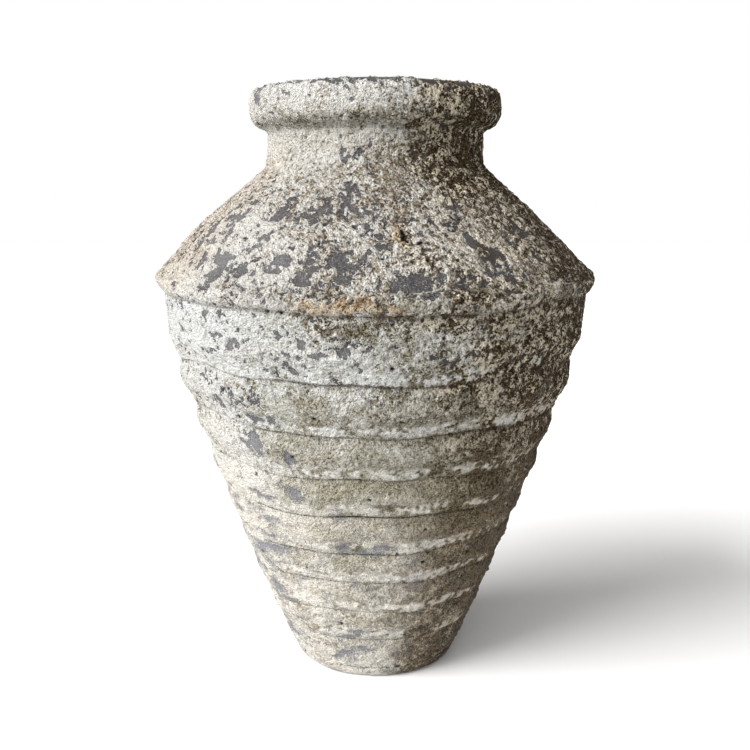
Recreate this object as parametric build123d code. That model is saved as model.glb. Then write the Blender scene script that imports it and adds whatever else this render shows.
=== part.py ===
"""Coil-built storage jar: a stoneware pithos with a ribbed body, a sharp shoulder and a rolled rim.

The jar is raised the way such jars are made. A floor slab is laid down, rings of clay are set on it course
by course, a thrown shoulder closes the body, and a neck collar and a rolled rim finish the mouth. Every ring
stands on a flat seat on top of the one below, and its lower lip is drawn down over the joint outside, which
leaves the crease under each ridge. A film of slip fills the lap between lip and wall.

Units are millimetres. The origin is the centre of the foot's underside and +Z points up.
"""

import os
from math import radians, tan

from build123d import *

# Foot: the floor slab and the ledge round it that carries the first course
FOOT_RADIUS = 55.0
FOOT_EDGE_ROUND = 4.0
LEDGE_HEIGHT = 9.0
FLOOR_THICKNESS = 14.0

# Body: ring courses from the foot up, as uneven as rings pinched by hand
FOOT_COURSE_HEIGHT = 34.0
COURSE_HEIGHTS = (23.0, 25.0, 23.0, 27.0, 26.0, 29.0, 33.0)
BODY_TOP_RADIUS = 135.0
BODY_BULGE = 4.2
WALL = 11.0
THUMB_HOLLOW = 0.8

# Ridges: each course swells to a rounded crest, strongly at the top of the body and faintly at the foot
RIDGE_PROUD_TOP = 4.2
RIDGE_PROUD_FOOT = 1.0
RIDGE_CREST_SHARE = 0.55
RIDGE_ROUND = 16.0
RIDGE_ROUND_SHARE = 0.8

# Lap joint: how far the lip covers the course below, how thick the lip is, and the film of slip behind it
LAP_RISE = 5.0
LAP_DEPTH = 4.0
SLIP_FILM = 0.3

# Belly band: the tall top course, which thickens towards the shoulder's corner
BAND_HEIGHT = 59.0
BAND_CREST_RISE = 17.0
BAND_FLARE = 11.0
BAND_THICKENING = 2.5

# Cordon: the half-round strip that covers the joint between band and shoulder
CORDON_BELOW = 13.5
CORDON_ABOVE = 3.0
CORDON_PROUD = 3.1

# Shoulder: a thrown cone, slightly domed
SHOULDER_RISE = 69.5
SHOULDER_DOME = 1.7

# Neck: a straight collar whose flared skirt laps over the shoulder
MOUTH_RADIUS = 61.0
NECK_WALL = 11.5
NECK_HEIGHT = 18.0
NECK_SKIRT = 8.5
SKIRT_LIP = 6.0
SKIRT_LAP_RISE = 2.5
SKIRT_ROUND = 8.0

# Rim: a thick rolled lip
RIM_OVERHANG = 12.2
RIM_HEIGHT = 33.5
RIM_UNDERCUT = 9.0
RIM_LOWER_ROUND = 6.0
RIM_UPPER_ROUND = 9.0
RIM_INNER_ROUND = 7.0
RIM_LAP_DEPTH = 3.0

# Radii and heights worked out from the sizes above
CORNER_RADIUS = BODY_TOP_RADIUS + BAND_FLARE
CORNER_INSIDE = CORNER_RADIUS - WALL - BAND_THICKENING
NECK_RADIUS = MOUTH_RADIUS + NECK_WALL
RIM_RADIUS = NECK_RADIUS + RIM_OVERHANG
BODY_TOP = FOOT_COURSE_HEIGHT + sum(COURSE_HEIGHTS)
CORNER_HEIGHT = BODY_TOP + BAND_HEIGHT
NECK_FOOT = CORNER_HEIGHT + SHOULDER_RISE
NECK_TOP = NECK_FOOT + NECK_HEIGHT
RIM_TOP = NECK_TOP + RIM_HEIGHT

# The shoulder's slope runs from the corner to the neck's foot, and the skirt starts part of the way up it
SKIRT_RADIUS = NECK_RADIUS + NECK_SKIRT
SKIRT_SHARE = (CORNER_RADIUS - SKIRT_RADIUS) / (CORNER_RADIUS - NECK_RADIUS)
SKIRT_FOOT = CORNER_HEIGHT + SKIRT_SHARE * SHOULDER_RISE
NECK_SEAT = SKIRT_FOOT + SKIRT_LAP_RISE
RIM_SEAT = NECK_TOP + LAP_RISE


def wall_radius(height):
    """Outer radius of the wall at the creases: a gently bowed line up to the band, then a straight one."""
    if height > BODY_TOP:
        share = (height - BODY_TOP) / BAND_HEIGHT
        return BODY_TOP_RADIUS + share * BAND_FLARE
    share = height / BODY_TOP
    return FOOT_RADIUS + share * (BODY_TOP_RADIUS - FOOT_RADIUS) + BODY_BULGE * 4 * share * (1 - share)


def inner_radius(height):
    """Inner radius of the wall. The band thickens from the plain wall to the corner's wall."""
    thickening = max(0.0, (height - BODY_TOP) / BAND_HEIGHT)
    return wall_radius(height) - WALL - thickening * BAND_THICKENING


def ridge_proud(height):
    """How far a ridge stands out from the wall line. The ridges fade towards the foot."""
    share = min(1.0, height / BODY_TOP)
    return RIDGE_PROUD_FOOT + (RIDGE_PROUD_TOP - RIDGE_PROUD_FOOT) * share**2


def lap(crease, film=0.0):
    """A lap joint's line from the crease inwards: up behind the lip, then along the flat seat."""
    seat = crease + LAP_RISE
    lip = wall_radius(crease) + film
    return [(lip, crease), (lip - LAP_DEPTH, seat), (inner_radius(seat), seat)]


def ridged_outside(low, crest_height, high):
    """Outer line of a course between two creases: out to a rounded crest, then straight on to the next crease.
    The crest's round is as large as its two runs allow, up to its full size."""
    crest = (wall_radius(crest_height) + ridge_proud(crest_height), crest_height)
    below = Vector(*crest) - Vector(*low)
    above = Vector(*high) - Vector(*crest)
    half_turn = radians(below.get_angle(above)) / 2
    largest = RIDGE_ROUND_SHARE * min(below.length, above.length) / tan(half_turn)
    return FilletPolyline(low, crest, high, radius=min(RIDGE_ROUND, largest))


def turned(*outline):
    """The solid that a closed outline in radius and height sweeps about the jar's axis."""
    return revolve(Plane.XZ * make_face(Curve() + list(outline)), Axis.Z)


def foot_slab():
    """Floor slab with a raised floor inside a ledge, and a softened outer edge."""
    outside = FilletPolyline(
        (0, 0), (FOOT_RADIUS, 0), (wall_radius(LEDGE_HEIGHT), LEDGE_HEIGHT), radius=FOOT_EDGE_ROUND
    )
    top = Polyline(
        (wall_radius(LEDGE_HEIGHT), LEDGE_HEIGHT),
        (inner_radius(LEDGE_HEIGHT), LEDGE_HEIGHT),
        (inner_radius(FLOOR_THICKNESS), FLOOR_THICKNESS),
        (0, FLOOR_THICKNESS),
        (0, 0),
    )
    return turned(outside, top)


def foot_course():
    """First ring, which stands on the slab's ledge round the raised floor."""
    crest = LEDGE_HEIGHT + RIDGE_CREST_SHARE * (FOOT_COURSE_HEIGHT - LEDGE_HEIGHT)
    top = lap(FOOT_COURSE_HEIGHT)
    outside = ridged_outside((wall_radius(LEDGE_HEIGHT), LEDGE_HEIGHT), crest, top[0])
    inside = Polyline(
        *top,
        (inner_radius(FLOOR_THICKNESS) + SLIP_FILM, FLOOR_THICKNESS),
        (inner_radius(LEDGE_HEIGHT) + SLIP_FILM, LEDGE_HEIGHT),
        (wall_radius(LEDGE_HEIGHT), LEDGE_HEIGHT),
    )
    return turned(outside, inside)


def body_course(low, high):
    """A ring between two creases, lapped over the ring below and under the ring above."""
    bottom = lap(low, SLIP_FILM)
    top = lap(high)
    crest = low + RIDGE_CREST_SHARE * (high - low)
    outside = ridged_outside(bottom[0], crest, top[0])
    middle = (low + high) / 2 + LAP_RISE
    hollow = ThreePointArc(top[-1], (inner_radius(middle) + THUMB_HOLLOW, middle), bottom[-1])
    return turned(outside, Polyline(*top), hollow, Polyline(*reversed(bottom)))


def belly_band():
    """The tall top course. Its flat top carries the shoulder."""
    bottom = lap(BODY_TOP, SLIP_FILM)
    corner = (CORNER_RADIUS, CORNER_HEIGHT)
    outside = ridged_outside(bottom[0], BODY_TOP + BAND_CREST_RISE, corner)
    seat = (CORNER_INSIDE, CORNER_HEIGHT)
    return turned(outside, Polyline(corner, seat, *reversed(bottom)))


def shoulder_slope():
    """Outer line of the shoulder, from the corner up to the neck's skirt, domed a little."""
    foot = Vector(CORNER_RADIUS, CORNER_HEIGHT)
    head = Vector(SKIRT_RADIUS, SKIRT_FOOT)
    run = (head - foot).normalized()
    outward = Vector(run.Y, -run.X)
    return ThreePointArc(foot, (foot + head) / 2 + outward * SHOULDER_DOME, head)


def shoulder():
    """Thrown cone that stands on the band and narrows to the neck's seat."""
    slope = shoulder_slope()
    inside = Polyline(
        (SKIRT_RADIUS, SKIRT_FOOT),
        (SKIRT_RADIUS - SKIRT_LIP, NECK_SEAT),
        (MOUTH_RADIUS, NECK_SEAT),
        (CORNER_INSIDE, CORNER_HEIGHT),
        (CORNER_RADIUS, CORNER_HEIGHT),
    )
    return turned(slope, inside)


def cordon():
    """Half-round strip luted over the joint between band and shoulder."""
    low_height = CORNER_HEIGHT - CORDON_BELOW
    band_crest = BODY_TOP + BAND_CREST_RISE
    crest_radius = wall_radius(band_crest) + ridge_proud(band_crest)
    share = (low_height - band_crest) / (CORNER_HEIGHT - band_crest)
    low = (crest_radius + share * (CORNER_RADIUS - crest_radius) + SLIP_FILM, low_height)
    on_slope = shoulder_slope() @ (CORDON_ABOVE / (SKIRT_FOOT - CORNER_HEIGHT))
    high = (on_slope.X + SLIP_FILM, on_slope.Y)
    crest = (CORNER_RADIUS + CORDON_PROUD, (low[1] + high[1]) / 2)
    back = Polyline(high, (CORNER_RADIUS + SLIP_FILM, CORNER_HEIGHT), low)
    return turned(ThreePointArc(low, crest, high), back)


def neck():
    """Straight collar with a flared skirt over the shoulder and a seat for the rim on top."""
    outside = FilletPolyline(
        (SKIRT_RADIUS + SLIP_FILM, SKIRT_FOOT),
        (NECK_RADIUS, NECK_FOOT),
        (NECK_RADIUS, NECK_TOP),
        radius=SKIRT_ROUND,
    )
    inside = Polyline(
        (NECK_RADIUS, NECK_TOP),
        (NECK_RADIUS - RIM_LAP_DEPTH, RIM_SEAT),
        (MOUTH_RADIUS, RIM_SEAT),
        (MOUTH_RADIUS, NECK_SEAT),
        (SKIRT_RADIUS - SKIRT_LIP + SLIP_FILM, NECK_SEAT),
        (SKIRT_RADIUS + SLIP_FILM, SKIRT_FOOT),
    )
    return turned(outside, inside)


def rim():
    """Rolled lip, undercut below and rounded over the top into the mouth."""
    lip = NECK_RADIUS + SLIP_FILM
    shoulder_height = NECK_TOP + RIM_UNDERCUT
    roll = FilletPolyline(
        (lip, NECK_TOP),
        (RIM_RADIUS, shoulder_height),
        (RIM_RADIUS, RIM_TOP),
        (MOUTH_RADIUS, RIM_TOP),
        (MOUTH_RADIUS, RIM_SEAT),
        radius=[RIM_LOWER_ROUND, RIM_UPPER_ROUND, RIM_INNER_ROUND],
    )
    under = Polyline((MOUTH_RADIUS, RIM_SEAT), (lip - RIM_LAP_DEPTH, RIM_SEAT), (lip, NECK_TOP))
    return turned(roll, under)


def jar():
    """Every piece of the jar by its node's name, from the foot up."""
    pieces = {"foot_slab": foot_slab(), "foot_course": foot_course()}
    low = FOOT_COURSE_HEIGHT
    for number, height in enumerate(COURSE_HEIGHTS, start=1):
        pieces[f"body_course_{number}"] = body_course(low, low + height)
        low += height
    pieces["belly_band"] = belly_band()
    pieces["shoulder_cordon"] = cordon()
    pieces["shoulder"] = shoulder()
    pieces["neck_collar"] = neck()
    pieces["rim_roll"] = rim()
    return pieces


os.makedirs("parts", exist_ok=True)
for name, piece in jar().items():
    export_step(piece, f"parts/{name}.step")
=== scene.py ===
import math

import bpy
import numpy as np
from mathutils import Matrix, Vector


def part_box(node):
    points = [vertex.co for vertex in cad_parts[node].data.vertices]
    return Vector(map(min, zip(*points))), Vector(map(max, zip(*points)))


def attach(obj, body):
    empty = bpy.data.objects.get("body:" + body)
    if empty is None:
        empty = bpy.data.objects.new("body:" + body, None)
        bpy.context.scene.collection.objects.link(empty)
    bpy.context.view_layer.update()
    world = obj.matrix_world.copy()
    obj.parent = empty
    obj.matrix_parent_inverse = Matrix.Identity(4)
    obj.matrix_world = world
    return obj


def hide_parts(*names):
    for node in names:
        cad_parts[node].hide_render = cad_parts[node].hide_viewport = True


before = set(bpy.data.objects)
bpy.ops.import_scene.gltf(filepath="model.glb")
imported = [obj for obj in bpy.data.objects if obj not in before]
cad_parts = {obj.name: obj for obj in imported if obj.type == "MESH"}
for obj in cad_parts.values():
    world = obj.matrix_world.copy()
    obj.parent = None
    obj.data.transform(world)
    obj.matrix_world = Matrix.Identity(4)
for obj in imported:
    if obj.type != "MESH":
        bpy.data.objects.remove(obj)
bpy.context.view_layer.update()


# Foot slab
# The jar's floor: a pat of coarse grey stoneware, beaten flat, trimmed to a soft edge and fired with the
# rest. Its ledge carries the first ring, which is luted to it with slip.

MM = 0.001
# Spacing of the mesh in mm, on the outside and where the jar is out of sight
GRID = 0.95
INSIDE_GRID = 3.0


def frame_size(node):
    """Lowest height, highest height and outer radius of a piece in the frame, in millimetres."""
    low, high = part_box(node)
    return low.z / MM, high.z / MM, high.x / MM


def lumps(points, size, seed):
    """Smooth random values from about -1 to 1 in lumps of the given size, at points in millimetres."""
    chance = np.random.default_rng(seed)
    order = chance.permutation(256)
    slopes = chance.normal(size=(256, 3))
    slopes /= np.linalg.norm(slopes, axis=1)[:, None]
    cell = np.floor(points / size).astype(int)
    inside = points / size - cell
    fade = inside**3 * (inside * (inside * 6 - 15) + 10)
    total = np.zeros(len(points))
    for corner in np.ndindex(2, 2, 2):
        x, y, z = (cell + corner).T
        pick = order[(order[(order[x & 255] + y) & 255] + z) & 255]
        share = np.where(corner, fade, 1 - fade).prod(axis=1)
        total += share * (slopes[pick] * (inside - corner)).sum(axis=1)
    return total * 1.6


def grains(points, spacing, seed):
    """Distance to the nearest scattered grain, as a share of their spacing, and that grain's own number."""
    chance = np.random.default_rng(seed)
    order = chance.permutation(256)
    scatter = chance.random((256, 3))
    own = chance.random(256)
    cell = np.floor(points / spacing).astype(int)
    inside = points / spacing - cell
    nearest = np.full(len(points), 9.0)
    number = np.zeros(len(points))
    for step in np.ndindex(3, 3, 3):
        step = np.array(step) - 1
        x, y, z = (cell + step).T
        pick = order[(order[(order[x & 255] + y) & 255] + z) & 255]
        away = np.linalg.norm(step + scatter[pick] - inside, axis=1)
        closer = away < nearest
        nearest[closer] = away[closer]
        number[closer] = own[pick][closer]
    return nearest, number


def ramp(value, low, high):
    """Eases from 0 at low to 1 at high."""
    share = np.clip((value - low) / (high - low), 0, 1)
    return share * share * (3 - 2 * share)


def facing(points):
    """Angle of each point round the jar, in degrees: 0 at the front, positive to the right."""
    return np.degrees(np.arctan2(points[:, 0], -points[:, 1]))


def spots(points, places):
    """Soft ragged spots. Each is an angle in degrees, a height, a half width and a half height in mm, and a
    strength."""
    if not places:
        return np.zeros(len(points))
    radius = np.hypot(points[:, 0], points[:, 1])
    # Edges wander by a few mm, so that no spot is a plain oval
    wander = 3.0 * lumps(points, 10, 21) + 1.8 * lumps(points, 5, 22)
    sway = 3.0 * lumps(points, 10, 23) + 1.8 * lumps(points, 5, 24)
    total = np.zeros(len(points))
    for angle, height, half_width, half_height, strength in places:
        turn = np.radians((facing(points) - angle + 180) % 360 - 180)
        across = (turn * radius + wander) / half_width
        up = (points[:, 2] - height + sway) / half_height
        total += strength * np.exp(-((across**2 + up**2) ** 1.4))
    return total


# How the weathering lies over the jar, read at these heights in mm from the foot up
HEIGHTS = (0, 40, 100, 180, 225, 262, 273, 286, 320, 345, 360, 368, 374, 380, 394, 400)
CRUST_COVER = (0.65, 0.6, 0.6, 0.7, 0.7, 0.7, 0.6, 0.46, 0.5, 0.7, 0.95, 0.95, 0.95, 0.95, 0.75, -0.5)
LIME_SHARE = (0.45, 0.45, 0.55, 0.6, 0.55, 0.55, 0.45, 0.5, 0.35, 0.25, 0.7, 0.8, 0.4, 0.65, 0.8, 0.6)
OLIVE_SHARE = (0.2, 0.3, 0.6, 1.0, 0.6, 0.9, 0.5, 0.1, 0.1, 0.3, 0.6, 0.5, 1.0, 0.6, 0.1, 0.1)
# The soil share by height is partly painted shade on the shaded right side, most of all on the neck and rim
SOIL_AND_SHADE_SHARE = (1.4, 1.4, 1.2, 1.0, 1.0, 0.9, 0.4, 0.4, 0.6, 1.2, 1.3, 1.3, 1.3, 1.2, 1.1, 1.1)
CREAM_SHARE = (0.0, 0.0, 0.2, 0.3, 0.2, 0.0, 0.8, 1.0, 1.0, 0.9, 0.6, 0.5, 0.5, 0.4, 0.3, 0.3)
# The sides of the jar, in degrees round from the front, on which each deposit is thickest. The lime's side
# is the lit left, where it is partly painted light, and the soil's side the shaded right, where it is partly
# painted shade.
LIMED_AND_LIT_SIDE = -75
OLIVE_SIDE = 8
LIP_SIDE = 12
SOILED_AND_SHADED_SIDE = 80
# Mean height of the crust in mm, which is taken off again so that the jar keeps its size
MEAN_RELIEF = 0.75


def weathering(points, bare=(), lime=(), ochre=(), earth=(), stuck=(), holes=(), creases=()):
    """What time has left on the clay at each point, with painted light and shade in some deposits: the
    relief's height in mm and the share of each deposit. A crease is given by its height, and by 1 if the lip
    over it holds lime or 0 if not."""
    height = points[:, 2]
    turn = facing(points)
    left, front, lip_front, right = (
        np.cos(np.radians(turn - side)) for side in (LIMED_AND_LIT_SIDE, OLIVE_SIDE, LIP_SIDE, SOILED_AND_SHADED_SIDE)
    )
    upper = ramp(height, 335, 365)
    rings = 1 - ramp(height, 208, 230)
    veil = 1 - ramp(height, 100, 235)
    # Painted shade: the far right edge, the jar's darkest side, loses lime and gains soil colour
    far_right_shade = ramp(right, 0.9, 1.0)

    # Olive growth on the front, where it evens out the crust of the rings
    olive = np.interp(height, HEIGHTS, OLIVE_SHARE) * (1 + 0.5 * lumps(points, 45, 6))
    olive *= ramp(front + 0.45 * upper, 0.5, 0.95)
    lively = 1 - 0.6 * np.clip(olive, 0, 1) * rings

    # The crust's cover, above 0 where it still holds: in flakes of 4 mm, and in flat smears low on the body
    cells, flake = grains(points, 4.4, 11)
    flat = points * (0.45, 0.45, 1.0)
    broken_up = 0.5 * lumps(points, 12, 2) + 0.75 * lumps(points, 6, 3) + 0.9 * lumps(points, 3.4, 20)
    smeared = 0.6 * lumps(flat, 8, 25) + 0.5 * lumps(flat, 4, 26) - 0.1 * ramp(left, 0.4, 1.0)
    crust = np.interp(height, HEIGHTS, CRUST_COVER) + 0.45 * lumps(points, 30, 1)
    crust += (1 - veil) * broken_up + veil * smeared
    crust += 0.5 * (1 - 0.6 * veil) * (0.55 - cells) - 0.75 * spots(points, bare) + 0.3 * olive * rings

    # White lime, mostly on the lit left, where it is partly painted light, and brown soil, mostly on the
    # shaded right, where it is partly painted shade, both in level streaks
    streaks = lumps(points * (0.35, 0.35, 1.0), 7, 4)
    white = np.interp(height, HEIGHTS, LIME_SHARE) + 0.12 + 0.5 * left
    white += 0.45 * lumps(points, 34, 5) + 0.35 * streaks + 0.35 * lumps(points, 13, 18) * lively
    white -= veil * (0.15 * ramp(left, 0.3, 1.0) + 0.3 * ramp(right, 0.2, 1.0)) + 0.6 * far_right_shade
    white += spots(points, lime)
    soil = 0.1 + 0.95 * ramp(right, 0.1, 0.85) * np.interp(height, HEIGHTS, SOIL_AND_SHADE_SHARE)
    soil += (1 - 0.7 * veil) * lively * (0.35 * lumps(points, 33, 7) + 0.25 * streaks)
    soil += 0.5 * (1 - 0.7 * veil) * lumps(points, 15, 19) * ramp(right, 0.0, 0.8)
    soil += 0.4 * far_right_shade - 0.4 * veil * (1 - ramp(right, -0.6, 1.0)) + spots(points, earth)

    # Creases: a thin broken line of dirt and painted shade, wider on the shaded right, smooth clay beside it,
    # soil and the lip's painted shadow below it, and lime on the lip above it
    line = np.zeros(len(points))
    calm = np.zeros(len(points))
    for crease, limed in creases:
        away = height - crease - 0.5 * lumps(points, 18, 14)
        plain = ramp(crease, 90, 200) * (0.7 + 0.3 * ramp(right, -0.5, 0.5))
        thin = np.exp(-((away / (0.7 + 0.8 * ramp(right, -0.4, 0.8))) ** 2))
        broken = 0.65 + 0.8 * lumps(points, 24, 15) + 0.6 * lumps(points, 7, 28)
        line = np.maximum(line, plain * thin * np.clip(broken, 0, 1))
        calm = np.maximum(calm, np.exp(-((away / 2.5) ** 2)))
        below = np.exp(np.minimum(away, 0) / 4) * (away < 0)
        soil += plain * below * (0.2 + 0.4 * ramp(right, -0.2, 0.8))
        above = np.exp(-(((away - 5) / 3.5) ** 2)) * ramp(lip_front, 0.4, 0.9)
        lip = 1.2 * limed * above * (0.4 + lumps(points, 15, 17) + 1.2 * lumps(points, 3.6, 29))
        lively = np.maximum(lively, np.clip(1.5 * lip, 0, 1))
        white += lip
        soil -= 0.7 * lip
        olive -= 0.6 * lip

    # Relief: pinch marks in the clay, the crust's own thickness and sand, pits, pores and stuck grit. On the
    # neck and rim the sand is drawn out upwards, along the wrinkles that wiping left.
    pinch = 0.8 * lumps(points, 55, 8) + 0.35 * lumps(points, 19, 9)
    drawn = points - 0.55 * np.maximum(height - 350, 0)[:, None] * (0, 0, 1)
    sand = 0.7 * lumps(drawn, 4.2, 10) + 0.5 * lumps(drawn, 2.4, 16)
    pits, number = grains(points, 14, 12)
    pit = (1 - ramp(pits, 0.07, 0.12)) * (number > 0.45)
    pit = np.maximum(pit, ramp(spots(points, holes), 0.3, 0.7))
    knob = (1 - ramp(pits, 0.04, 0.16)) * (number < 0.2) + 2.0 * spots(points, stuck)
    pores, pore_number = grains(points, 5.5, 13)
    pore = (1 - ramp(pores, 0.14, 0.3)) * (pore_number > 0.5)
    pore *= (1 - 0.6 * veil) * (0.4 + 0.6 * ramp(right, -0.3, 0.7))
    crusted = ramp(crust, -0.05, 0.25)
    thick = 0.55 * crusted + 0.35 * np.clip(crust, 0, 1.2)
    thick += (0.7 * (flake - 0.5) - 0.9 * pore + 0.9 * sand) * crusted
    relief = pinch + thick * (1 - 0.6 * calm) - 1.1 * pit + 0.9 * knob - MEAN_RELIEF

    creamy = 0.4 + 0.6 * ramp(-turn, 38, 62) + 0.4 * ramp(turn, 0, 40)
    return {
        "relief": relief,
        "crust": crust,
        "lime": np.clip(white, -0.2, 1.6),
        "olive": np.clip(olive, 0, 1),
        "soil": np.clip(soil, 0, 1),
        "ochre": np.clip(spots(points, ochre), 0, 1),
        "grain": sand + 0.9 * (flake - 0.5),
        "crease": line,
        "veil": veil,
        "cream": np.interp(height, HEIGHTS, CREAM_SHARE) * np.maximum(creamy, 0.8 * upper),
        # The pits' and pores' dark colour is painted shade in the holes, with more pores on the shaded right
        "pit": np.maximum(pit, 0.6 * pore * crusted),
        "lively": lively,
    }


# How far the clay moved before it was hard, in mm, and how far the wall widens as it rises
CORDON_SAG = 4.5
SHOULDER_LEAN = 1.6
LIFT_AT_LEFT = 5.5
LIFT_AT_RIGHT = 4.0
CREASE_WAVER = 2.6
WALL_SLOPE = 0.28


def settled(points):
    """The jar as its maker's hands and the kiln left it: the cordon sags at the front, the shoulder leans to
    the left, and the creases waver and rise towards the sides."""
    height = points[:, 2]
    turn = facing(points)
    front = np.clip(np.cos(np.radians(turn)), 0, 1)
    sag = CORDON_SAG * front**2 * np.exp(-(((height - 268) / 20) ** 2))
    lean = SHOULDER_LEAN * np.exp(-(((height - 315) / 28) ** 2))
    lift = LIFT_AT_LEFT * np.exp(-(((turn + 58) / 34) ** 2) - ((height - 195) / 42) ** 2)
    lift += LIFT_AT_RIGHT * np.exp(-(((turn - 58) / 30) ** 2) - ((height - 222) / 28) ** 2)
    waver = CREASE_WAVER * lumps(points * (1, 1, 0.5), 42, 27)
    waver *= ramp(height, 10, 60) * (1 - ramp(height, 300, 345))
    moved = points.copy()
    moved[:, :2] *= (1 + WALL_SLOPE * lift / np.maximum(np.hypot(*points[:, :2].T), 30))[:, None]
    moved[:, 0] -= lean
    moved[:, 2] += waver + lift - sag
    return moved


def rounded_outline(corners):
    """Closed outline of a ring from its corners. Each has its radius, height and rounding, and the relief and
    grid of the run that follows it."""
    path = []
    count = len(corners)
    for number in range(count):
        before, here, after = (np.array(corners[(number + step) % count][:2], float) for step in (-1, 0, 1))
        relief, grid = corners[number][3:]
        back = before - here
        ahead = after - here
        reach = [min(corners[number][2], 0.49 * np.linalg.norm(run)) for run in (back, ahead)]
        start = here + back / np.linalg.norm(back) * reach[0]
        end = here + ahead / np.linalg.norm(ahead) * reach[1]
        steps = max(1, math.ceil(sum(reach) / min(grid, corners[number - 1][4])))
        for share in np.linspace(0, 1, steps + 1):
            bend = (1 - share) ** 2 * start + 2 * share * (1 - share) * here + share**2 * end
            path.append((*bend, relief, grid))
    outline = []
    for here, after in zip(path, path[1:] + path[:1]):
        here = np.array(here)
        after = np.array(after)
        gap = np.linalg.norm(after[:2] - here[:2])
        if gap < 1e-6:
            continue
        steps = max(1, math.ceil(gap / here[3]))
        outline += [here[:3] + (after[:3] - here[:3]) * share / steps for share in range(steps)]
    return np.array(outline)


def turned_piece(name, corners, **deposits):
    """A ring of weathered clay: its outline swept round the axis on a fine grid, relief and all."""
    outline = rounded_outline(corners)
    rows = len(outline)
    radius = outline[:, 0].max()
    columns = round(2 * math.pi * radius / GRID)
    angle = np.linspace(0, 2 * math.pi, columns, endpoint=False)
    along = np.roll(outline[:, :2], -1, axis=0) - np.roll(outline[:, :2], 1, axis=0)
    along /= np.maximum(np.linalg.norm(along, axis=1), 1e-9)[:, None]
    outward = np.stack([along[:, 1], -along[:, 0]], axis=1)

    def swept(radial, vertical):
        x = radial[:, None] * np.sin(angle)
        y = -radial[:, None] * np.cos(angle)
        z = np.repeat(vertical[:, None], columns, axis=1)
        return np.stack([x, y, z], axis=2).reshape(-1, 3)

    points = swept(outline[:, 0], outline[:, 1])
    normals = swept(outward[:, 0], outward[:, 1])
    aged = weathering(points, **deposits)
    rise = aged.pop("relief") * np.repeat(outline[:, 2], columns)
    points = settled(points + normals * rise[:, None])

    row, column = np.divmod(np.arange(rows * columns), columns)
    next_row = (row + 1) % rows * columns
    next_column = (column + 1) % columns
    this_row = row * columns
    corners_of_faces = np.stack(
        [this_row + column, this_row + next_column, next_row + next_column, next_row + column], axis=1
    )
    mesh = bpy.data.meshes.new(name)
    mesh.vertices.add(len(points))
    mesh.vertices.foreach_set("co", (points * MM).astype(np.float32).ravel())
    mesh.loops.add(corners_of_faces.size)
    mesh.loops.foreach_set("vertex_index", corners_of_faces.astype(np.int32).ravel())
    mesh.polygons.add(len(corners_of_faces))
    mesh.polygons.foreach_set("loop_start", np.arange(0, corners_of_faces.size, 4, dtype=np.int32))
    for deposit, values in aged.items():
        mesh.attributes.new(deposit, "FLOAT", "POINT").data.foreach_set("value", values.astype(np.float32))

    # The surface laid flat for baking, as a stack of strips with a small margin between them
    margin = 0.02
    run = np.linalg.norm(np.diff(np.vstack([outline, outline[:1]])[:, :2], axis=0), axis=1)
    reached = margin + (1 - 2 * margin) * np.concatenate([[0], np.cumsum(run)]) / run.sum()
    strips = max(1, round(math.sqrt(2 * math.pi * radius / run.sum())))
    strip, place = np.divmod(column * strips / columns, 1)
    width = strips / columns
    low = (strip + reached[row]) / strips
    high = (strip + reached[row + 1]) / strips
    laid = np.stack([place, low, place + width, low, place + width, high, place, high], axis=1)
    mesh.uv_layers.new(name="OFBake").data.foreach_set("uv", laid.astype(np.float32).ravel())
    mesh.update(calc_edges=True)
    mesh.validate()
    mesh.shade_smooth()
    piece = bpy.data.objects.new(name, mesh)
    bpy.context.scene.collection.objects.link(piece)
    return piece


def linear(hex_colour):
    """An sRGB hex colour as the linear colour that a shader takes."""
    shares = [int(hex_colour[at : at + 2], 16) / 255 for at in (1, 3, 5)]
    return (*(s / 12.92 if s <= 0.04045 else ((s + 0.055) / 1.055) ** 2.4 for s in shares), 1.0)


def add_node(tree, kind, settings=None, *inputs, **named):
    """Adds a shader node with its settings. Its inputs are values, outputs or nodes, in order or by name."""
    node = tree.nodes.new("ShaderNode" + kind)
    for setting, value in (settings or {}).items():
        setattr(node, setting, value)
    links = list(zip([socket for socket in node.inputs if socket.enabled], inputs))
    links += [(node.inputs[name.replace("_", " ")], value) for name, value in named.items()]
    for socket, value in links:
        if isinstance(value, bpy.types.Node):
            value = next(output for output in value.outputs if output.enabled)
        if isinstance(value, bpy.types.NodeSocket):
            tree.links.new(value, socket)
        else:
            socket.default_value = value
    return node


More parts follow.
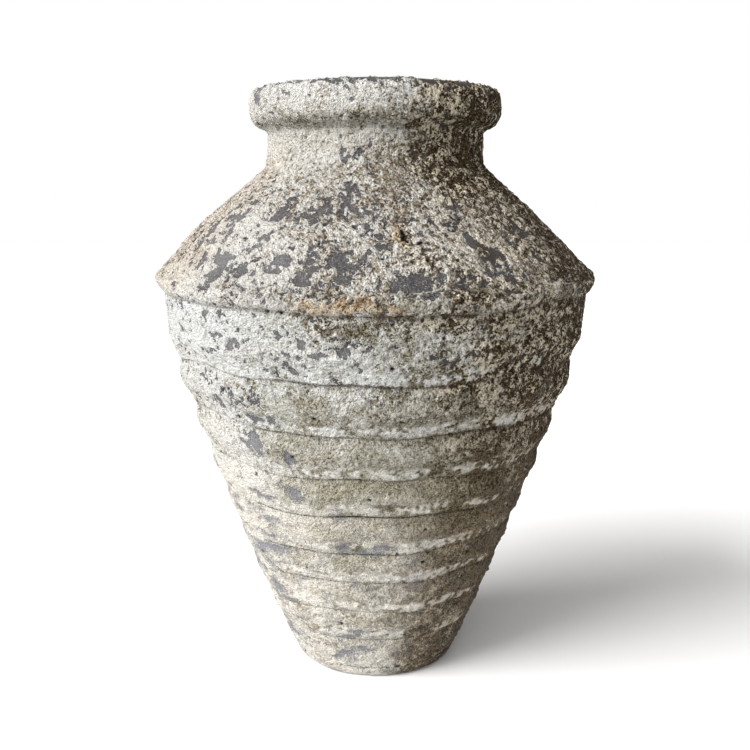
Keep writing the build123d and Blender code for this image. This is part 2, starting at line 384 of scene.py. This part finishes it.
def weathered_stoneware():
    """Coarse stoneware, coil-built and fired to dark grey, under a broken crust of lime and sand. The bare
    clay is smooth and satin. The crust is dead matt, pale at its edges and speckled with grit."""
    material = bpy.data.materials.new("weathered_stoneware")
    material.use_nodes = True
    stone = material.node_tree
    stone.nodes.clear()
    eased = {"interpolation_type": "SMOOTHSTEP"}
    tint = {"data_type": "RGBA"}
    plus = {"operation": "ADD"}
    minus = {"operation": "SUBTRACT"}
    times = {"operation": "MULTIPLY"}
    times_plus = {"operation": "MULTIPLY_ADD"}

    # What weathering() left at each point of the mesh, painted shade in the soil and crease shares included
    deposit = {}
    for name in "crust lime olive soil ochre grain crease veil cream pit lively".split():
        deposit[name] = add_node(stone, "Attribute", {"attribute_name": name}).outputs["Fac"]
    lime = deposit["lime"]
    soil = deposit["soil"]
    veil = deposit["veil"]
    cream = deposit["cream"]

    # Marks by their size: kiln blotches of 18 mm, crumbs of 5 mm, clumps of 2.6 mm, sand of 1.3 mm and grit
    # of 1.2 mm. Silt is too fine to show in the render, so it is drawn as flecks of 0.7 mm, about a pixel.
    place = add_node(stone, "TexCoord").outputs["Object"]
    blotch = add_node(stone, "TexNoise", None, place, 1 / (18 * MM), 3, 0.5)
    crumb = add_node(stone, "TexNoise", None, place, 1 / (5 * MM), 3, 0.55)
    clump = add_node(stone, "TexNoise", None, place, 1 / (2.6 * MM), 2, 0.5)
    popcorn = add_node(stone, "TexVoronoi", None, place, 1 / (2.6 * MM))
    sand = add_node(stone, "TexVoronoi", None, place, 1 / (1.3 * MM))
    own = add_node(stone, "SeparateColor", None, sand.outputs["Color"])
    grit = add_node(stone, "TexNoise", None, place, 1 / (1.2 * MM), 2, 0.6)
    fleck = add_node(stone, "TexNoise", None, place, 1 / (0.7 * MM), 1, 0.5)
    # Lace: thin threads of lime, where a pattern of 2.6 mm crosses its middle
    threads = add_node(stone, "TexNoise", None, place, 1 / (2.6 * MM), 1.5, 0.5)
    threads = add_node(stone, "Math", minus, threads, 0.5)
    threads = add_node(stone, "Math", {"operation": "ABSOLUTE"}, threads)
    lace = add_node(stone, "MapRange", eased, threads, 0.075, 0.0)

    # Where the crust ends: a crumbly edge, soft under the dusty veil on the lower body
    edge = add_node(stone, "Math", plus, deposit["crust"], grit)
    edge = add_node(stone, "Math", times_plus, fleck, 0.6, edge)
    edge = add_node(stone, "Math", times_plus, lace, 0.3, edge)
    edge = add_node(stone, "Math", minus, edge, 0.92)
    softness = add_node(stone, "MapRange", eased, veil, 0, 1, 1, 8)
    softened = add_node(stone, "Math", {"operation": "DIVIDE"}, edge, softness)
    crusted = add_node(stone, "MapRange", eased, softened, -0.02, 0.08)

    # Bare clay: dark grey with pale temper, dusted, limed and soiled in turn. The soil's dark brown is partly
    # painted shade on the shaded right
    share = add_node(stone, "Math", times_plus, grit, 0.4, blotch)
    share = add_node(stone, "MapRange", eased, share, 0.55, 0.9)
    clay = add_node(stone, "Mix", tint, share, linear("#343335"), linear("#444344"))
    share = add_node(stone, "Math", times_plus, grit, 0.5, fleck)
    share = add_node(stone, "MapRange", eased, share, 0.79, 0.97)
    clay = add_node(stone, "Mix", tint, share, clay, linear("#736E68"))
    share = add_node(stone, "MapRange", eased, veil, 0, 1, 0, 0.5)
    clay = add_node(stone, "Mix", tint, share, clay, linear("#93959B"))
    share = add_node(stone, "MapRange", eased, lime, 0.8, 1.5, 0, 0.12)
    clay = add_node(stone, "Mix", tint, share, clay, linear("#A3A4A6"))
    share = add_node(stone, "MapRange", eased, soil, 0.2, 1, 0, 0.85)
    clay = add_node(stone, "Mix", tint, share, clay, linear("#2F2820"))

    # The crust's tone, from deep hollows to white grains: lime, broken up by crumbs, clumps, grit and sand.
    # It is lower where the mesh's sand lies low: dirt and painted shade in the low spots
    rough = add_node(stone, "Math", times_plus, crumb, 5.0, lace)
    rough = add_node(stone, "Math", times_plus, clump, 3.4, rough)
    rough = add_node(stone, "Math", times_plus, grit, 2.0, rough)
    rough = add_node(stone, "Math", times_plus, own, 0.8, rough)
    rough = add_node(stone, "Math", times_plus, deposit["grain"], 0.7, rough)
    rough = add_node(stone, "Math", minus, rough, 5.8)
    strength = add_node(stone, "MapRange", eased, veil, 0, 1, 0.57, 0.28)
    rough = add_node(stone, "Math", times, rough, strength)
    strength = add_node(stone, "MapRange", eased, soil, 0.3, 1, 1, 2)
    rough = add_node(stone, "Math", times, rough, strength)
    strength = add_node(stone, "MapRange", eased, lime, 0.6, 1.2, 1, 0.7)
    rough = add_node(stone, "Math", times, rough, strength)
    rough = add_node(stone, "Math", times, rough, deposit["lively"])
    tone = add_node(stone, "Math", plus, lime, rough)
    brink = add_node(stone, "MapRange", eased, edge, 0.3, 0.05)
    tone = add_node(stone, "Math", times_plus, brink, 0.35, tone)

    # The crust's own colours: brown in its hollows, sandy, then white, cream or dusty on its grains
    deep = add_node(stone, "Mix", tint, veil, linear("#6E6253"), linear("#878075"))
    middle = add_node(stone, "Mix", tint, cream, linear("#A3998A"), linear("#AE9D89"))
    middle = add_node(stone, "Mix", tint, veil, middle, linear("#A79F93"))
    pale = add_node(stone, "Mix", tint, cream, linear("#D9DAD8"), linear("#DAD1C4"))
    share = add_node(stone, "MapRange", eased, veil, 0, 1, 0, 0.6)
    pale = add_node(stone, "Mix", tint, share, pale, linear("#CCC4B6"))
    # Painted light: pale grains turn warm where the soil share is high, for the warm light on the shaded
    # right
    share = add_node(stone, "MapRange", eased, soil, 0.3, 1.1)
    pale = add_node(stone, "Mix", tint, share, pale, linear("#E2D5BE"))
    share = add_node(stone, "MapRange", eased, tone, -0.5, 0.3)
    body = add_node(stone, "Mix", tint, share, deep, middle)
    share = add_node(stone, "MapRange", eased, tone, 0.2, 1.1)
    body = add_node(stone, "Mix", tint, share, body, pale)

    # Olive growth, which leaves the white grains bare
    fine = add_node(stone, "Math", times_plus, fleck, 0.8, grit)
    share = add_node(stone, "MapRange", eased, fine, 0.7, 1.1)
    moss = add_node(stone, "Mix", tint, share, linear("#76715D"), linear("#A19C8A"))
    share = add_node(stone, "MapRange", eased, tone, 0.7, 1.6, 0.92, 0.3)
    share = add_node(stone, "Math", times, deposit["olive"], share)
    body = add_node(stone, "Mix", tint, share, body, moss)

    # Soil, which fills the hollows and lies evenly on the dusty lower body. On the shaded right, under the
    # creases' lips and under the rim its dark brown is partly painted shade
    share = add_node(stone, "MapRange", eased, fine, 0.75, 1.1)
    earth = add_node(stone, "Mix", tint, veil, linear("#20160C"), linear("#443727"))
    earth = add_node(stone, "Mix", tint, share, earth, linear("#685638"))
    sunk = add_node(stone, "MapRange", eased, tone, 0.45, 0.95, 1, 0)
    share = add_node(stone, "MapRange", eased, veil, 0, 1, 0, 0.7)
    sunk = add_node(stone, "Mix", None, share, sunk, 0.62)
    share = add_node(stone, "Math", times, soil, sunk)
    body = add_node(stone, "Mix", tint, share, body, earth)

    # Iron stain, from ochre to rust
    share = add_node(stone, "MapRange", eased, blotch, 0.4, 0.6)
    stain = add_node(stone, "Mix", tint, share, linear("#B69668"), linear("#986537"))
    share = add_node(stone, "MapRange", eased, tone, 0, 1)
    stain = add_node(stone, "Mix", tint, share, stain, linear("#CAB291"))
    share = add_node(stone, "Math", times_plus, grit, 1.5, crumb)
    share = add_node(stone, "MapRange", eased, share, 1.1, 1.35, 0.15, 0.95)
    share = add_node(stone, "Math", times, deposit["ochre"], share)
    body = add_node(stone, "Mix", tint, share, body, stain)

    # Dirt and painted shade in the gaps between the grains
    gap = add_node(stone, "MapRange", eased, popcorn, 0.45, 0.85)
    sand_gap = add_node(stone, "MapRange", eased, sand, 0.45, 0.85)
    gap = add_node(stone, "Math", times_plus, sand_gap, 0.7, gap)
    gap = add_node(stone, "Math", times_plus, grit, -2.0, gap)
    gap = add_node(stone, "Math", times_plus, fleck, -1.6, gap)
    gap = add_node(stone, "MapRange", eased, gap, -1.6, -0.5)
    share = add_node(stone, "MapRange", eased, tone, 0.2, 1.2, 1, 0.25)
    share = add_node(stone, "Math", times_plus, soil, 0.5, share)
    strength = add_node(stone, "MapRange", eased, veil, 0, 1, 1, 0.5)
    share = add_node(stone, "Math", times, share, strength)
    share = add_node(stone, "Math", times, share, gap)
    body = add_node(stone, "Mix", {**tint, "blend_type": "MULTIPLY"}, share, body, linear("#85796A"))

    # Clay and crust together, with dirt and painted shade in the creases, dark specks, and pits and pores
    # painted dark as the shade in them
    colour = add_node(stone, "Mix", tint, crusted, clay, body)
    share = add_node(stone, "MapRange", eased, grit, 0.3, 0.6, 1, 0.7)
    share = add_node(stone, "Math", times, deposit["crease"], share)
    colour = add_node(stone, "Mix", tint, share, colour, linear("#443625"))
    specks = add_node(stone, "Math", times_plus, grit, 0.8, fleck)
    specks = add_node(stone, "MapRange", eased, specks, 0.75, 0.67)
    share = add_node(stone, "MapRange", eased, lime, 0.7, 1.3, 1, 0.3)
    specks = add_node(stone, "Math", times, specks, share)
    specks = add_node(stone, "Math", times, specks, deposit["lively"])
    share = add_node(stone, "MapRange", eased, veil, 0, 1, 1, 0.3)
    specks = add_node(stone, "Math", times, specks, share)
    colour = add_node(stone, "Mix", tint, specks, colour, linear("#29231E"))
    colour = add_node(stone, "Mix", tint, deposit["pit"], colour, linear("#14100C"))

    # Grain that is finer than the mesh, up to 1.2 mm deep
    sandy = add_node(stone, "Math", times_plus, fleck, 0.5, grit)
    sandy = add_node(stone, "Math", times_plus, sand, -0.4, sandy)
    sandy = add_node(stone, "Math", times_plus, popcorn, -0.6, sandy)
    cover = add_node(stone, "Math", times_plus, veil, 0.5, crusted)
    cover = add_node(stone, "MapRange", eased, cover, 0, 1, 0.12, 1)
    sandy = add_node(stone, "Math", times, sandy, cover)
    step = add_node(stone, "MapRange", eased, edge, 0, 1.2, 0.5, 1)
    step = add_node(stone, "Math", times, crusted, step)
    depth = add_node(stone, "MapRange", eased, veil, 0, 1, 3.2, 1.8)
    height = add_node(stone, "Math", times_plus, sandy, depth, step)
    bump = add_node(stone, "Bump", None, Strength=1.0, Distance=1.2 * MM, Height=height)

    # Satin on the bare clay, dead matt on the crust. Dust leaves it far less shine than clean clay has.
    dull = add_node(stone, "MapRange", eased, crusted, 0, 1, 0.6, 0.95)
    surface = add_node(
        stone,
        "BsdfPrincipled",
        None,
        Base_Color=colour,
        Roughness=dull,
        IOR=1.5,
        Specular_IOR_Level=0.12,
        Normal=bump,
    )
    add_node(stone, "OutputMaterial", None, Surface=surface)
    return material


stoneware = weathered_stoneware()


def place_on_frame(piece, node):
    """Gives a piece its clay and sets it in the frame in the place of its node."""
    piece.data.materials.append(stoneware)
    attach(piece, "root")
    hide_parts(node)


WALL = 11.0
FOOT_RADIUS = 55.0
FOOT_EDGE = 7.0
LEDGE = 9.0
FLOOR_FLARE = 2.0
# Just off the axis, so that no face of the mesh shrinks to a line
AXIS = 0.02
slab_low, slab_floor, slab_radius = frame_size("foot_slab")
slab = turned_piece(
    "foot_slab",
    [
        (AXIS, slab_low, 0, 0.0, INSIDE_GRID),
        (FOOT_RADIUS, slab_low, FOOT_EDGE, 0.4, GRID),
        (slab_radius, LEDGE, 0, 1.0, INSIDE_GRID),
        (slab_radius - WALL, LEDGE, 0, 0.0, INSIDE_GRID),
        (slab_radius - WALL + FLOOR_FLARE, slab_floor, 1.0, 0.2, INSIDE_GRID),
        (AXIS, slab_floor, 0, 0.2, INSIDE_GRID),
    ],
)
place_on_frame(slab, "foot_slab")


# Ring courses
# The body is raised ring by ring. Each ring of clay stands on the one below, and its lower lip is smeared
# down over the joint, which leaves a ridge with a crease under it. Inside, thumbs leave a shallow hollow.

LAP_RISE = 5.0
LAP_DEPTH = 4.0
LIP_PROUD = 0.7
LIP_ROUND = 0.5
CREST_SHARE = 0.53
RIDGE_AT_TOP = 4.0
RIDGE_AT_FOOT = 0.6
RIDGE_ROUND = 2.0
WALL_STEPS = 9
THUMB_HOLLOW = 0.8
INSIDE_RELIEF = 0.45
COURSE_BARE = (
    (-48, 197, 7, 5, 1.3),
    (-40, 205, 7, 8, 1.3),
    (-33, 209, 6, 7, 1.3),
    (-30, 194, 12, 4, 1.2),
    (-52, 213, 8, 6, 1.2),
    (-37, 177, 12, 8, 1.2),
    (-25, 172, 6, 6, 1.2),
    (-42, 141, 13, 4, 0.9),
    (-25, 147, 10, 5, 0.6),
    (33, 215, 7, 4, 1.1),
)
course_nodes = ["foot_course"] + [f"body_course_{number}" for number in range(1, 8)]
ridges_end = frame_size("body_course_7")[1] - LAP_RISE
crease_radius = slab_radius
for node in course_nodes:
    low, seat, top_radius = frame_size(node)
    high = seat - LAP_RISE
    lap_low = low if node == "foot_course" else low + LAP_RISE
    ridge = RIDGE_AT_FOOT + (RIDGE_AT_TOP - RIDGE_AT_FOOT) * (high / ridges_end) ** 2
    # Low on the body wear and dust have all but closed the lips
    sharp = 0.05 + 0.95 * (high / ridges_end) ** 3
    wall = []
    for share in np.linspace(0, 1, WALL_STEPS):
        swell = ridge * math.sin(math.pi * share ** (math.log(0.5) / math.log(CREST_SHARE))) ** 2
        lip = LIP_PROUD * sharp * (share == 0) * (node != "foot_course")
        radius = crease_radius + (top_radius - crease_radius) * share + swell + lip
        rounding = RIDGE_ROUND if 0 < share < 1 else LIP_ROUND * sharp
        wall.append((radius, low + (high - low) * share, rounding, 1.0, GRID))
    wall[-1] = (*wall[-1][:4], INSIDE_GRID)
    slope = (top_radius - crease_radius) / (high - low)
    inside_top = top_radius + slope * LAP_RISE - WALL
    inside_low = crease_radius + slope * (lap_low - low) - WALL
    inside_middle = (inside_top + inside_low) / 2 + THUMB_HOLLOW
    course = turned_piece(
        node,
        [
            *wall,
            (top_radius - LAP_DEPTH, seat, 0, 0.0, INSIDE_GRID),
            (inside_top, seat, 0, INSIDE_RELIEF, INSIDE_GRID),
            (inside_middle, (seat + lap_low) / 2, 9.0, INSIDE_RELIEF, INSIDE_GRID),
            (inside_low, lap_low, 0, INSIDE_RELIEF, INSIDE_GRID),
            (crease_radius - LAP_DEPTH, lap_low, 0, 0.0, INSIDE_GRID),
        ],
        bare=COURSE_BARE,
        creases=((low, 1), (high, 1))[node == "foot_course" :],
    )
    place_on_frame(course, node)
    crease_radius = top_radius


# Belly band
# The tall top ring of clay, lapped over the last course. Its wall stands almost upright above one rounded
# ridge and thickens inwards to carry the shoulder. Rain has left its thickest white lime here, and on its
# lit left side that white is partly painted light.

band_low, band_top, corner_radius = frame_size("belly_band")
cordon_low, cordon_top, cordon_radius = frame_size("shoulder_cordon")
BAND_CREST = 16.0
BAND_CREST_RADIUS = 142.3
CORNER_WALL = 13.5
BAND_BARE = (
    (-36, 242, 5, 6, 1.1),
    (-45, 233, 6, 4, 1.1),
    (-23, 229, 8, 5, 1.3),
    (-13, 239, 5, 5, 1.1),
    (-6, 240, 7, 5, 1.1),
    (-45, 261, 4, 4, 1.0),
    (-38, 256, 3, 6, 1.0),
    (-18, 246, 4, 5, 1.0),
    (18, 238, 8, 3, 1.2),
    (23, 239, 4, 3, 1.1),
    (10, 234, 5, 3, 1.0),
)
# The wide spot on the lit left is partly painted light
BAND_LIME = (
    (-48, 248, 55, 26, 0.8),
    (-9, 236, 26, 8, 0.7),
    (30, 248, 30, 7, 0.6),
    (30, 233, 22, 4, 0.7),
    (42, 262, 22, 7, 0.5),
    (-8, 259, 26, 6, -0.5),
)
BAND_EARTH = (
    (8, 258, 36, 5, 0.3),
    (-10, 259, 24, 6, 0.15),
    (50, 250, 22, 18, 0.2),
    (52, 236, 44, 11, 0.4),
)
band = turned_piece(
    "belly_band",
    [
        (crease_radius + LIP_PROUD, band_low, LIP_ROUND, 1.0, GRID),
        (crease_radius + 1.4, band_low + 4.0, 3.0, 1.0, GRID),
        (BAND_CREST_RADIUS, band_low + BAND_CREST, 7.0, 1.0, GRID),
        (BAND_CREST_RADIUS - 0.4, band_low + BAND_CREST + 8.0, 6.0, 1.0, GRID),
        (corner_radius, band_top, 0, 0.3, INSIDE_GRID),
        (corner_radius - CORNER_WALL, band_top, 0, INSIDE_RELIEF, INSIDE_GRID),
        (crease_radius - WALL, band_low + LAP_RISE, 0, INSIDE_RELIEF, INSIDE_GRID),
        (crease_radius - LAP_DEPTH, band_low + LAP_RISE, 0, 0.0, INSIDE_GRID),
    ],
    bare=BAND_BARE,
    lime=BAND_LIME,
    earth=BAND_EARTH,
    creases=((band_low, 1), (cordon_low, 0)),
)
place_on_frame(band, "belly_band")


# Shoulder cordon
# A half-round strip of clay pressed over the joint between band and shoulder. It stands proud, so hands and
# rain have worn it, and iron in the soil has stained its front ochre.

cordon_middle = (cordon_low + cordon_top) / 2
CORDON_OCHRE = (
    (-5, 272, 12, 5, 1.2),
    (-14, 270, 12, 4, 1.1),
    (3, 270, 10, 4, 0.8),
)
CORDON_BARE = ((10, 280, 14, 2.5, 1.3), (-20, 279, 10, 2, 1.1), (32, 278, 8, 3, 1.2))
CORDON_EARTH = ((21, 276, 11, 4, 0.9), (14, 268, 14, 2, 0.7), (3, 266, 16, 2, 0.6))
CORDON_LIME = ((50, 281, 30, 3, 1.0), (45, 275, 34, 6, 0.5))
CORDON_STUCK = ((15, 278, 4, 3, 1.0), (20, 277, 5, 3, 1.1))
cordon = turned_piece(
    "shoulder_cordon",
    [
        (corner_radius - 0.6, cordon_low, 0.6, 1.0, GRID),
        (cordon_radius - 0.9, cordon_low + 3.2, 4.0, 1.0, GRID),
        (cordon_radius + 0.6, cordon_middle + 1.0, 6.0, 1.0, GRID),
        (cordon_radius - 1.4, cordon_top - 5.0, 4.0, 1.0, GRID),
        (corner_radius - 3.2, cordon_top - 1.8, 0.6, 1.0, INSIDE_GRID),
        (corner_radius - 4.0, cordon_top - 2.0, 0, 0.0, INSIDE_GRID),
        (corner_radius - 2.0, cordon_low + 1.0, 0, 0.0, INSIDE_GRID),
    ],
    bare=CORDON_BARE,
    lime=CORDON_LIME,
    ochre=CORDON_OCHRE,
    earth=CORDON_EARTH,
    stuck=CORDON_STUCK,
    creases=((cordon_low, 0),),
)
place_on_frame(cordon, "shoulder_cordon")


# Shoulder
# A cone of the same clay, thrown on the wheel and luted to the band. It is the smoothest part of the jar,
# so the crust has come away in flakes and shows the dark clay in scalloped patches.

shoulder_low, neck_seat, _ = frame_size("shoulder")
skirt_low, rim_seat, skirt_radius = frame_size("neck_collar")
MOUTH_RADIUS = 61.0
SHOULDER_BARE = (
    (-9, 330, 6, 9, 1.3),
    (-18, 318, 8, 5, 1.3),
    (-31, 320, 5, 9, 1.2),
    (-33, 302, 6, 5, 1.3),
    (-35, 287, 5, 4, 1.1),
    (-23, 293, 6, 2.5, 1.2),
    (-24, 287, 6, 2, 1.1),
    (-16, 285, 7, 4, 1.2),
    (-8, 284, 9, 2, 1.2),
    (-9, 293, 7, 3, 1.2),
    (-2, 292, 7, 4, 1.2),
    (3, 302, 7, 3, 1.2),
    (8, 282, 15, 7, 1.6),
    (-41, 290, 3, 5, 1.2),
    (-44, 281, 6, 3, 1.0),
    (-47, 307, 4, 6, 1.1),
    (-51, 290, 4, 8, 1.2),
    (-60, 305, 5, 8, 1.2),
    (18, 317, 4, 3, 1.1),
    (25, 313, 4, 4, 1.1),
    (30, 329, 6, 6, 1.3),
    (29, 304, 5, 5, 1.3),
    (33, 296, 9, 5, 1.4),
    (35, 286, 8, 4, 1.3),
    (27, 283, 4, 5, 1.2),
    (52, 310, 6, 5, 1.1),
)
SHOULDER_LIME = ((32, 305, 48, 26, 0.5), (-40, 300, 50, 22, 0.35))
SHOULDER_RUST = ((7.6, 307, 3.2, 6, 1.2),)
SHOULDER_EARTH = (
    (8.8, 306, 4.5, 7.5, 1.1),
    (13, 290, 10, 6, 0.5),
    (55, 286, 10, 8, 0.6),
    (64, 302, 6, 16, 0.5),
    (35, 338, 20, 6, 0.15),
)
SHOULDER_HOLES = ((9.6, 307, 1.8, 3.4, 1.2), (12.4, 300.5, 1.8, 1.4, 1.0))
SHOULDER_STUCK = (
    (7.4, 307, 2.2, 3.6, 0.9),
    (7, 302, 2.5, 2.0, 0.8),
    (14, 292, 3.0, 2.0, 1.0),
    (18, 287, 3.0, 2.0, 1.1),
    (11, 297, 3, 2, 0.8),
)
DOME = 1.7
middle_radius = (corner_radius + skirt_radius) / 2
shoulder = turned_piece(
    "shoulder",
    [
        (corner_radius + 1.6, shoulder_low - 2.6, 0, 1.0, GRID),
        (middle_radius + DOME, (shoulder_low + skirt_low) / 2 + DOME, 40.0, 1.0, GRID),
        (skirt_radius, skirt_low, 0, 1.0, INSIDE_GRID),
        (skirt_radius - 6.3, neck_seat, 0, 0.0, INSIDE_GRID),
        (MOUTH_RADIUS, neck_seat, 0, INSIDE_RELIEF, INSIDE_GRID),
        (corner_radius - CORNER_WALL, shoulder_low, 0, INSIDE_RELIEF, INSIDE_GRID),
    ],
    bare=SHOULDER_BARE,
    lime=SHOULDER_LIME,
    ochre=SHOULDER_RUST,
    earth=SHOULDER_EARTH,
    holes=SHOULDER_HOLES,
    stuck=SHOULDER_STUCK,
)
place_on_frame(shoulder, "shoulder")


# Neck collar
# A short straight collar of the same clay. Its flared foot is smeared over the shoulder, so no joint shows
# outside, and its top carries the rim. Wiping it while it was damp left fine upright wrinkles.

rim_low, rim_top, rim_radius = frame_size("rim_roll")
NECK_RADIUS = 72.5
NECK_FOOT = 348.5
RIM_LAP = 4.5
# On the right the neck lies under the rim: the first soil spot and the first lime spot, which takes lime
# away, are partly painted shade
NECK_EARTH_AND_SHADE = ((62, 357, 28, 14, 1.1), (40, 348, 14, 5, 0.15))
NECK_LIME = ((62, 357, 28, 14, -0.9), (-55, 357, 40, 12, 0.45))
NECK_STUCK = ((-5, 347, 2.5, 2.0, 1.0), (2, 349, 2.0, 1.6, 0.8))
NECK_BARE = (
    (-9, 354, 7, 4, 1.0),
    (21, 353, 8, 4, 1.0),
    (40, 363, 4, 3, 0.9),
)
neck = turned_piece(
    "neck_collar",
    [
        (skirt_radius + 3.0, skirt_low - 4.0, 0, 1.0, GRID),
        (skirt_radius + 0.2, skirt_low + 0.2, 3.0, 1.0, GRID),
        (NECK_RADIUS, NECK_FOOT, 9.0, 1.0, GRID),
        (NECK_RADIUS, rim_low + RIM_LAP - 0.5, 0, 1.0, INSIDE_GRID),
        (NECK_RADIUS - 3.0, rim_seat, 0, 0.0, INSIDE_GRID),
        (MOUTH_RADIUS, rim_seat, 0, INSIDE_RELIEF, INSIDE_GRID),
        (MOUTH_RADIUS, neck_seat, 0, INSIDE_RELIEF, INSIDE_GRID),
        (skirt_radius - 6.0, neck_seat, 0, 0.0, INSIDE_GRID),
    ],
    bare=NECK_BARE,
    lime=NECK_LIME,
    earth=NECK_EARTH_AND_SHADE,
    stuck=NECK_STUCK,
)
place_on_frame(neck, "neck_collar")


# Rim
# A thick rolled lip of clay, bent outwards over the neck and smoothed with a wet hand. Its crown is rubbed
# bare where lids and hands have touched it, and its underside keeps olive soil.

RIM_BARE = (
    (25, 394, 10, 5, 1.0),
    (41, 392, 13, 6, 0.8),
    (-43, 393, 7, 4, 1.1),
    (-65, 392, 6, 5, 1.0),
    (60, 385, 5, 8, 1.0),
)
# Under the rim on the right, the first two soil spots and the first lime spot, which takes lime away, are
# partly painted shade
RIM_EARTH_AND_SHADE = ((58, 382, 22, 11, 1.0), (40, 372, 22, 5, 0.5), (46, 390, 9, 5, 1.2))
RIM_LIME = ((60, 382, 24, 11, -0.7), (46, 390, 9, 5, -1.0))
RIM_STUCK = ((-13, 375, 2.2, 1.8, 1.0), (14, 378, 2.2, 1.8, 1.1))
rim = turned_piece(
    "rim_roll",
    [
        (NECK_RADIUS - 1.6, rim_low, 0, 1.0, GRID),
        (NECK_RADIUS + 0.6, rim_low + RIM_LAP, 2.0, 1.0, GRID),
        (rim_radius - 0.4, rim_low + 10.5, 6.5, 1.0, GRID),
        (rim_radius, rim_top - 0.4, 11.0, 1.0, GRID),
        (MOUTH_RADIUS, rim_top - 0.4, 9.0, 1.0, GRID),
        (MOUTH_RADIUS, rim_seat, 0, INSIDE_RELIEF, INSIDE_GRID),
        (NECK_RADIUS - 3.0, rim_seat, 0, 0.0, INSIDE_GRID),
    ],
    bare=RIM_BARE,
    lime=RIM_LIME,
    earth=RIM_EARTH_AND_SHADE,
    stuck=RIM_STUCK,
)
place_on_frame(rim, "rim_roll")


# Stage
# A plain white floor that keeps the jar's shadow, soft light from the left, and a camera where the
# photograph was taken. None of it belongs to the jar.

scene = bpy.context.scene
scene.view_settings.view_transform = "Standard"
REACH = 6.0
floor_corners = [(-REACH, -REACH, 0), (REACH, -REACH, 0), (REACH, REACH, 0), (-REACH, REACH, 0)]
floor_mesh = bpy.data.meshes.new("floor")
floor_mesh.from_pydata(floor_corners, [], [(0, 1, 2, 3)])
floor = bpy.data.objects.new("floor", floor_mesh)
scene.collection.objects.link(floor)

# Matt white paper: no gloss, so only the jar's shadow shows on it
paper = bpy.data.materials.new("white_paper")
paper.use_nodes = True
paper.node_tree.nodes.clear()
matt = add_node(paper.node_tree, "BsdfDiffuse", None, Color=linear("#FAFAFA"))
add_node(paper.node_tree, "OutputMaterial", None, Surface=matt)
floor_mesh.materials.append(paper)

# The room: white where the camera or a reflection sees it, and a faint warm light everywhere else
world = bpy.data.worlds.new("studio")
scene.world = world
world.use_nodes = True
studio = world.node_tree
studio.nodes.clear()
path = add_node(studio, "LightPath").outputs
seen = add_node(studio, "Math", {"operation": "ADD"}, path["Is Camera Ray"], path["Is Glossy Ray"])
seen = add_node(studio, "Math", {"operation": "ADD"}, seen, path["Is Transmission Ray"])
room = add_node(studio, "Background", None, Color=linear("#FFF6EA"), Strength=0.08)
blank = add_node(studio, "Background", None, Color=linear("#FFFFFF"), Strength=1.0)
sky = add_node(studio, "MixShader", None, seen, room, blank)
add_node(studio, "OutputWorld", None, Surface=sky)

# Each lamp's strength, the width of its soft source, its tilt from straight down and its turn, in degrees
LAMPS = {
    "window_light": (6.0, 48, 60, -63),
    "ceiling_light": (0.52, 90, 15, 20),
    "front_light": (2.3, 90, 78, -16),
    "back_light": (1.8, 20, 88, 180),
}
for name, (strength, width, tilt, turn) in LAMPS.items():
    lamp = bpy.data.objects.new(name, bpy.data.lights.new(name, "SUN"))
    lamp.data.energy = strength
    lamp.data.angle = math.radians(width)
    lamp.rotation_euler = (math.radians(tilt), 0, math.radians(turn))
    scene.collection.objects.link(lamp)

camera = bpy.data.objects.new("camera", bpy.data.cameras.new("camera"))
camera.location = (0, -0.7068, 0.3309)
camera.rotation_euler = (math.radians(79.73), 0, 0)
camera.data.lens = 48.53
camera.data.sensor_width = 36
scene.collection.objects.link(camera)
scene.camera = camera
